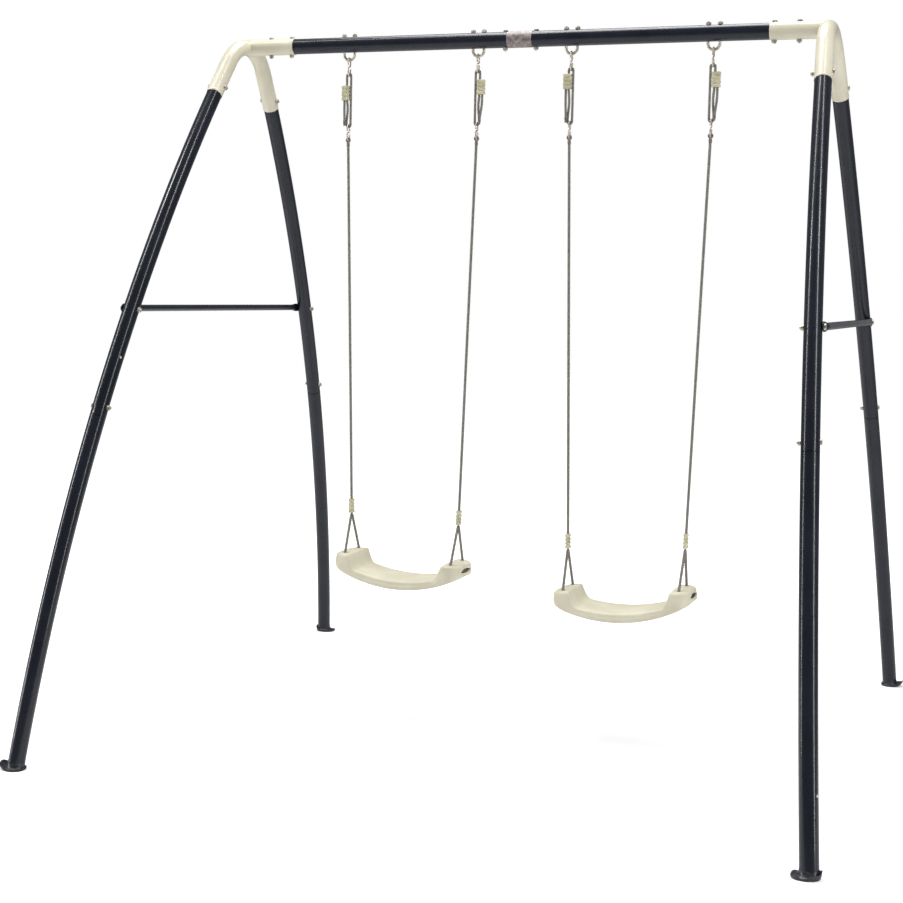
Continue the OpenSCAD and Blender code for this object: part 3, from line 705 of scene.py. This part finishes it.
def add_seat(swing):
    """A seat: the moulded skin, opened, thickened and with broken edges."""
    # The inside of the wall gets a dark copy of the seat plastic: painted shade in the slots and holes.
    shell = seat_mesh(swing.side + "_seat_moulding")
    shell.data.materials.append(SEAT_INSIDE_SHADE)
    open_seat(shell)
    solid = shell.modifiers.new("wall", "SOLIDIFY")
    solid.thickness = SEAT_WALL
    solid.offset = -1
    solid.material_offset = 1
    bevel = shell.modifiers.new("edges", "BEVEL")
    bevel.width = 0.001
    bevel.segments = 2
    bevel.angle_limit = math.radians(50)
    shell.data.transform(seat_matrix(swing))
    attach(shell, swing.side + "_seat")
    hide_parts(swing.side + "_swing_seat")


for swing in SWINGS:
    add_seat(swing)


# ---- Frame pieces ----
BEAD_BACK = (0.004, 0.013)      # from a stub's end to its two rims; a socket has the first only


def frame_matrix(side):
    """From an A-frame's own plane to the row frame."""
    mirror = Matrix.Diagonal((side, 1, 1, 1))
    lean = Matrix.Rotation(-SPLAY, 4, "Y")
    return Matrix.Translation((side * SPAN / 2, 0, BEAM_Z)) @ mirror @ lean


def drop_of(height):
    """How far down an A-frame's plane a height is."""
    return (BEAM_Z - height) / math.cos(SPLAY)


def leg_angle(height):
    """Where on the leg's arc a height is."""
    return math.asin((LEG_CENTRE_V - drop_of(height)) / LEG_R)


def leg_u(angle):
    """How far a leg's axis is from the A-frame's middle."""
    return LEG_CENTRE_U + LEG_R * math.cos(angle)


def leg_point(side, end, height):
    """A point on a leg's axis and the leg's direction there, downwards."""
    angle = leg_angle(height)
    local = Vector((0, end * leg_u(angle), -drop_of(height)))
    way = Vector((0, end * math.sin(angle), -math.cos(angle)))
    m = frame_matrix(side)
    return m @ local, (m.to_3x3() @ way).normalized()


def crossbar_stations(bolt_y, round_until):
    """Where a crossbar's rings are, along it: close together where its ends are pressed."""
    step = 0.003
    ys = [0.0]
    ys += [bolt_y - round_until + step * k for k in range(15)]
    ys += [bolt_y - step * (4 - k) for k in range(5)]
    ys += [bolt_y + TONGUE_W / 2 * math.sin(math.radians(a)) for a in (15, 30, 45, 60, 72, 82, 88)]
    return [-y for y in reversed(ys[1:])] + ys


def add_crossbar(side, name):
    """A round bar with both ends pressed flat and bolted to the legs."""
    sides = 32
    round_until, flat_from = 0.056, 0.018       # distances from the bolt
    bolt_y = leg_u(leg_angle(CROSSBAR_Z))
    x = TUBE_R + CONTACT_GAP + TONGUE_T / 2
    z = -drop_of(CROSSBAR_Z)
    stations = crossbar_stations(bolt_y, round_until)
    verts = []
    for y in stations:
        flat = smooth_step(bolt_y - round_until, bolt_y - flat_from, abs(y))
        past = max(abs(y) - bolt_y, 0)
        rounded = math.sqrt((TONGUE_W / 2) ** 2 - past ** 2)
        half_w = min(CROSSBAR_R + (TONGUE_W / 2 - CROSSBAR_R) * flat, rounded)
        half_t = CROSSBAR_R + (TONGUE_T / 2 - CROSSBAR_R) * flat
        power = 1 - 0.45 * flat
        for c, s in round_steps(sides):
            verts.append(Vector((x + blunt(c, power) * half_t, y, z + blunt(s, power) * half_w)))
    bar = make_object(name + "_bar", verts, ring_faces(len(stations), sides), DARK)
    bar.data.transform(frame_matrix(side))
    if side > 0:
        bar.data.flip_normals()
    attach(bar, "frame")
    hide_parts(name)


def face_outwards(obj):
    bm = bmesh.new()
    bm.from_mesh(obj.data)
    bmesh.ops.recalc_face_normals(bm, faces=bm.faces)
    bm.to_mesh(obj.data)
    bm.free()


def add_foot(side, end, name):
    """The foot pressed out under a leg: a short collar that flares to a wavy, turned-up sole."""
    sides = 72
    collar_gap, squareness = 0.0004, 0.85
    turn_up, ripple_h, ripples = 0.012, 0.0014, 5
    sole_top = 0.004        # the underside below this height stays flat
    base, way = leg_point(side, end, 0.0)
    # height, and how far out it is from the tube, 0, to the sole's edge, 1
    profile = [(0.020, 0.0), (0.015, 0.01), (0.012, 0.05), (0.0095, 0.16), (0.0078, 0.34), (0.0066, 0.56),
               (0.0062, 0.76), (0.0066, 0.90), (0.0070, 0.97), (0.0056, 1.0), (0.0030, 0.97),
               (0.0008, 0.88), (0.0, 0.74), (0.0, 0.3)]
    verts = []
    for height, out in profile:
        axis = base - way * (height / -way.z)
        for j, (c, s) in enumerate(round_steps(sides)):
            inner = axis + Vector((c, s, 0)) * (TUBE_R + collar_gap)
            rim_x = base.x + end * FOOT_SHIFT + blunt(c, squareness) * FOOT_LENGTH / 2
            rim_y = base.y + blunt(s, squareness) * FOOT_WIDTH / 2
            lift = turn_up * smooth_step(0.35, 1, out) * max(side * c, 0) ** 1.5
            wave = ripple_h * smooth_step(0.3, 1, out) * math.sin(ripples * 2 * math.pi * j / sides + side)
            z = height + lift + (wave if height > sole_top else 0)
            verts.append(Vector((inner.x + (rim_x - inner.x) * out, inner.y + (rim_y - inner.y) * out, z)))
    foot = make_object(name + "_pressing", verts, ring_faces(len(profile), sides, caps=False), FOOT)
    face_outwards(foot)
    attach(foot, "frame")
    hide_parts(name)


def add_bead(name, centre, way):
    """A rolled rim round a connector's socket or stub, its foot sunk into the wall."""
    sides, steps = 48, 10
    half_length, height, sunk = 0.0032, 0.0011, 0.0004
    normal = way.orthogonal().normalized()
    other = way.cross(normal)
    verts = []
    for k in range(steps + 1):
        t = 2 * k / steps - 1
        r = SOCKET_R - sunk + height * math.sqrt(max(1 - t * t, 0))
        for c, s in round_steps(sides):
            verts.append(centre + way * (t * half_length) + (normal * c + other * s) * r)
    bead = make_object(name, verts, ring_faces(steps + 1, sides, caps=False), CREAM)
    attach(bead, "frame")


def add_connector_beads(side, word):
    """The two rims near the end of a connector's stub."""
    along = Vector((1, 0, 0))
    stub_end = Vector((side * (SPAN / 2 - STUB_LENGTH), 0, BEAM_Z))
    for k, back in enumerate(BEAD_BACK):
        add_bead("stub_bead_%s_%d" % (word, k), stub_end + along * (side * back), along)


for side, word in ((-1, "left"), (1, "right")):
    add_crossbar(side, "crossbar_" + word)
    add_connector_beads(side, word)
    for end, place in ((-1, "front"), (1, "rear")):
        add_foot(side, end, "foot_%s_%s" % (place, word))
        mouth, way = leg_point(side, end, SOCKET_END_Z)
        add_bead("socket_bead_%s_%s" % (place, word), mouth - way * BEAD_BACK[0], way)


# ---- Finishes of the pieces that CAD already shapes right ----
def finish_of(name):
    if any(word in name for word in ("bolt", "nut", "hook", "screw")):
        return ZINC
    if name.startswith("connector"):
        return CREAM
    if name == "beam_plate":
        return PLATE
    return DARK


for name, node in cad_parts.items():
    finish = finish_of(name)
    if not node.material_slots:
        node.data.materials.append(finish)
    for place in node.material_slots:
        place.material = finish


# ---- Stage and light ----
def floor_material():
    """White floor that glows softly far from the object, so that no horizon shows."""
    mat, tree, shader, place = new_material("floor_white", base=(0.9, 0.9, 0.9), roughness=0.9)
    patches = add_noise(tree, place, scale=3)
    vary_colour(tree, shader, patches, dark=(0.89, 0.89, 0.89), light=(0.91, 0.91, 0.91))
    far = tree.nodes.new("ShaderNodeVectorMath")
    far.operation = "LENGTH"
    tree.links.new(place, far.inputs[0])
    glow = tree.nodes.new("ShaderNodeMapRange")
    glow.interpolation_type = "SMOOTHSTEP"
    glow.inputs["From Min"].default_value = 0.8
    glow.inputs["From Max"].default_value = 3.6
    glow.inputs["To Min"].default_value = 0.25
    glow.inputs["To Max"].default_value = 0.9
    tree.links.new(far.outputs["Value"], glow.inputs["Value"])
    seen = tree.nodes.new("ShaderNodeLightPath")
    only_seen = tree.nodes.new("ShaderNodeMath")
    only_seen.operation = "MULTIPLY"
    tree.links.new(glow.outputs["Result"], only_seen.inputs[0])
    tree.links.new(seen.outputs["Is Camera Ray"], only_seen.inputs[1])
    tree.links.new(only_seen.outputs["Value"], shader.inputs["Emission Strength"])
    shader.inputs["Emission Color"].default_value = (1, 1, 1, 1)
    return mat


def add_floor():
    size = 20
    corners = [(-size, -size, 0), (size, -size, 0), (size, size, 0), (-size, size, 0)]
    floor = make_object("floor", corners, [(0, 1, 2, 3)], floor_material(), smooth=False)


def add_world():
    """White where the camera sees it, and a soft bluish light on the object."""
    world = bpy.data.worlds.new("studio")
    world.use_nodes = True
    tree = world.node_tree
    soft = tree.nodes["Background"]
    soft.inputs["Color"].default_value = (0.96, 0.98, 1, 1)
    soft.inputs["Strength"].default_value = 0.20
    seen = tree.nodes.new("ShaderNodeBackground")
    seen.inputs["Color"].default_value = (1, 1, 1, 1)
    path = tree.nodes.new("ShaderNodeLightPath")
    mix = tree.nodes.new("ShaderNodeMixShader")
    tree.links.new(path.outputs["Is Camera Ray"], mix.inputs[0])
    tree.links.new(soft.outputs[0], mix.inputs[1])
    tree.links.new(seen.outputs[0], mix.inputs[2])
    tree.links.new(mix.outputs[0], tree.nodes["World Output"].inputs["Surface"])
    bpy.context.scene.world = world


def add_area(name, place, target, size, power):
    """A rectangular light that the camera doesn't see."""
    data = bpy.data.lights.new(name, "AREA")
    data.shape = "RECTANGLE"
    data.size, data.size_y = size
    data.energy = power
    light = bpy.data.objects.new(name, data)
    light.location = place
    light.visible_camera = False
    aim = Vector(target) - Vector(place)
    light.rotation_euler = aim.to_track_quat("-Z", "Y").to_euler()
    bpy.context.scene.collection.objects.link(light)


def add_lights():
    """One soft light above, and tall strips that draw the bright lines along the tubes."""
    add_area("key_light", place=(-0.4, 0.9, 5.2), target=(0, 0, 0.6), size=(2.6, 2.6), power=165)
    add_area("strip_left", place=(-3.6, -1.7, 2.7), target=(0.3, -0.4, 1.6), size=(0.35, 5.4), power=105)
    add_area("strip_right", place=(3.4, -1.5, 2.6), target=(0.2, -0.6, 1.6), size=(0.35, 5.2), power=80)
    add_area("high_strip_left", place=(-2.8, -1.4, 6.3), target=(0.3, -0.4, 1.7), size=(0.35, 3.4), power=75)
    add_area("high_strip_right", place=(2.8, -1.3, 6.3), target=(0.3, -0.4, 1.7), size=(0.35, 3.4), power=65)


bpy.context.scene.view_settings.view_transform = "Standard"
add_floor()
add_world()
add_lights()
